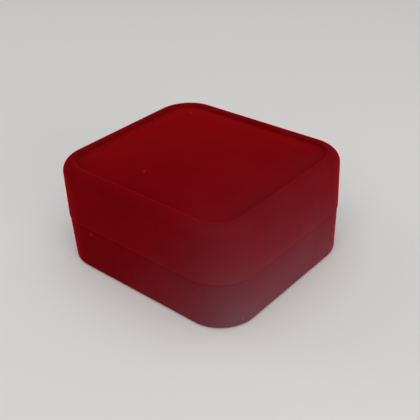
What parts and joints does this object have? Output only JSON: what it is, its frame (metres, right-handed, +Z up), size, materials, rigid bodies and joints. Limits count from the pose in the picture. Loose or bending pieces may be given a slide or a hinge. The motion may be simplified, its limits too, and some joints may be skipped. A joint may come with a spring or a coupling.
{
  "type": "hinged ring box",
  "caption": "Low rounded ring box with a flocked base and lid, a snap hinge at the back, a slotted velvet ring cushion and a satin lid pad.",
  "frame": {"origin": "middle of the underside of the closed box", "axes": "+X to the box's right, -Y to its front where the lid opens, +Y to its hinge, +Z up"},
  "size_m": [0.072, 0.0644, 0.0344],
  "materials": {
    "red_flock": "crimson nylon flock on moulded plastic",
    "red_velvet": "short-pile crimson velvet",
    "cream_satin": "ivory satin",
    "white_foam": "open-cell foam",
    "grey_card": "grey pressed card",
    "nickel_steel": "nickel-plated pressed sheet steel",
    "spring_steel": "bright drawn spring steel"
  },
  "bodies": {
    "base": {"base_shell": "red_flock", "base_collar": "red_velvet", "cushion_board": "grey_card", "cushion_foam_front": "white_foam", "cushion_foam_rear": "white_foam", "cushion_cover": "red_velvet", "hinge_base_leaf": "nickel_steel", "hinge_pin": "spring_steel", "snap_spring": "spring_steel", "spring_rivet": "nickel_steel"},
    "lid": {"lid_shell": "red_flock", "hinge_lid_leaf": "nickel_steel", "lid_pad_board": "grey_card", "lid_pad_foam": "white_foam", "lid_pad_satin": "cream_satin"}
  },
  "joints": [
    {"name": "lid_hinge", "type": "hinge", "parent": "base", "child": "lid", "pos_m": [0, 0.0302, 0.016], "axis": [-1, 0, 0], "range_deg": [0, 95]}
  ]
}
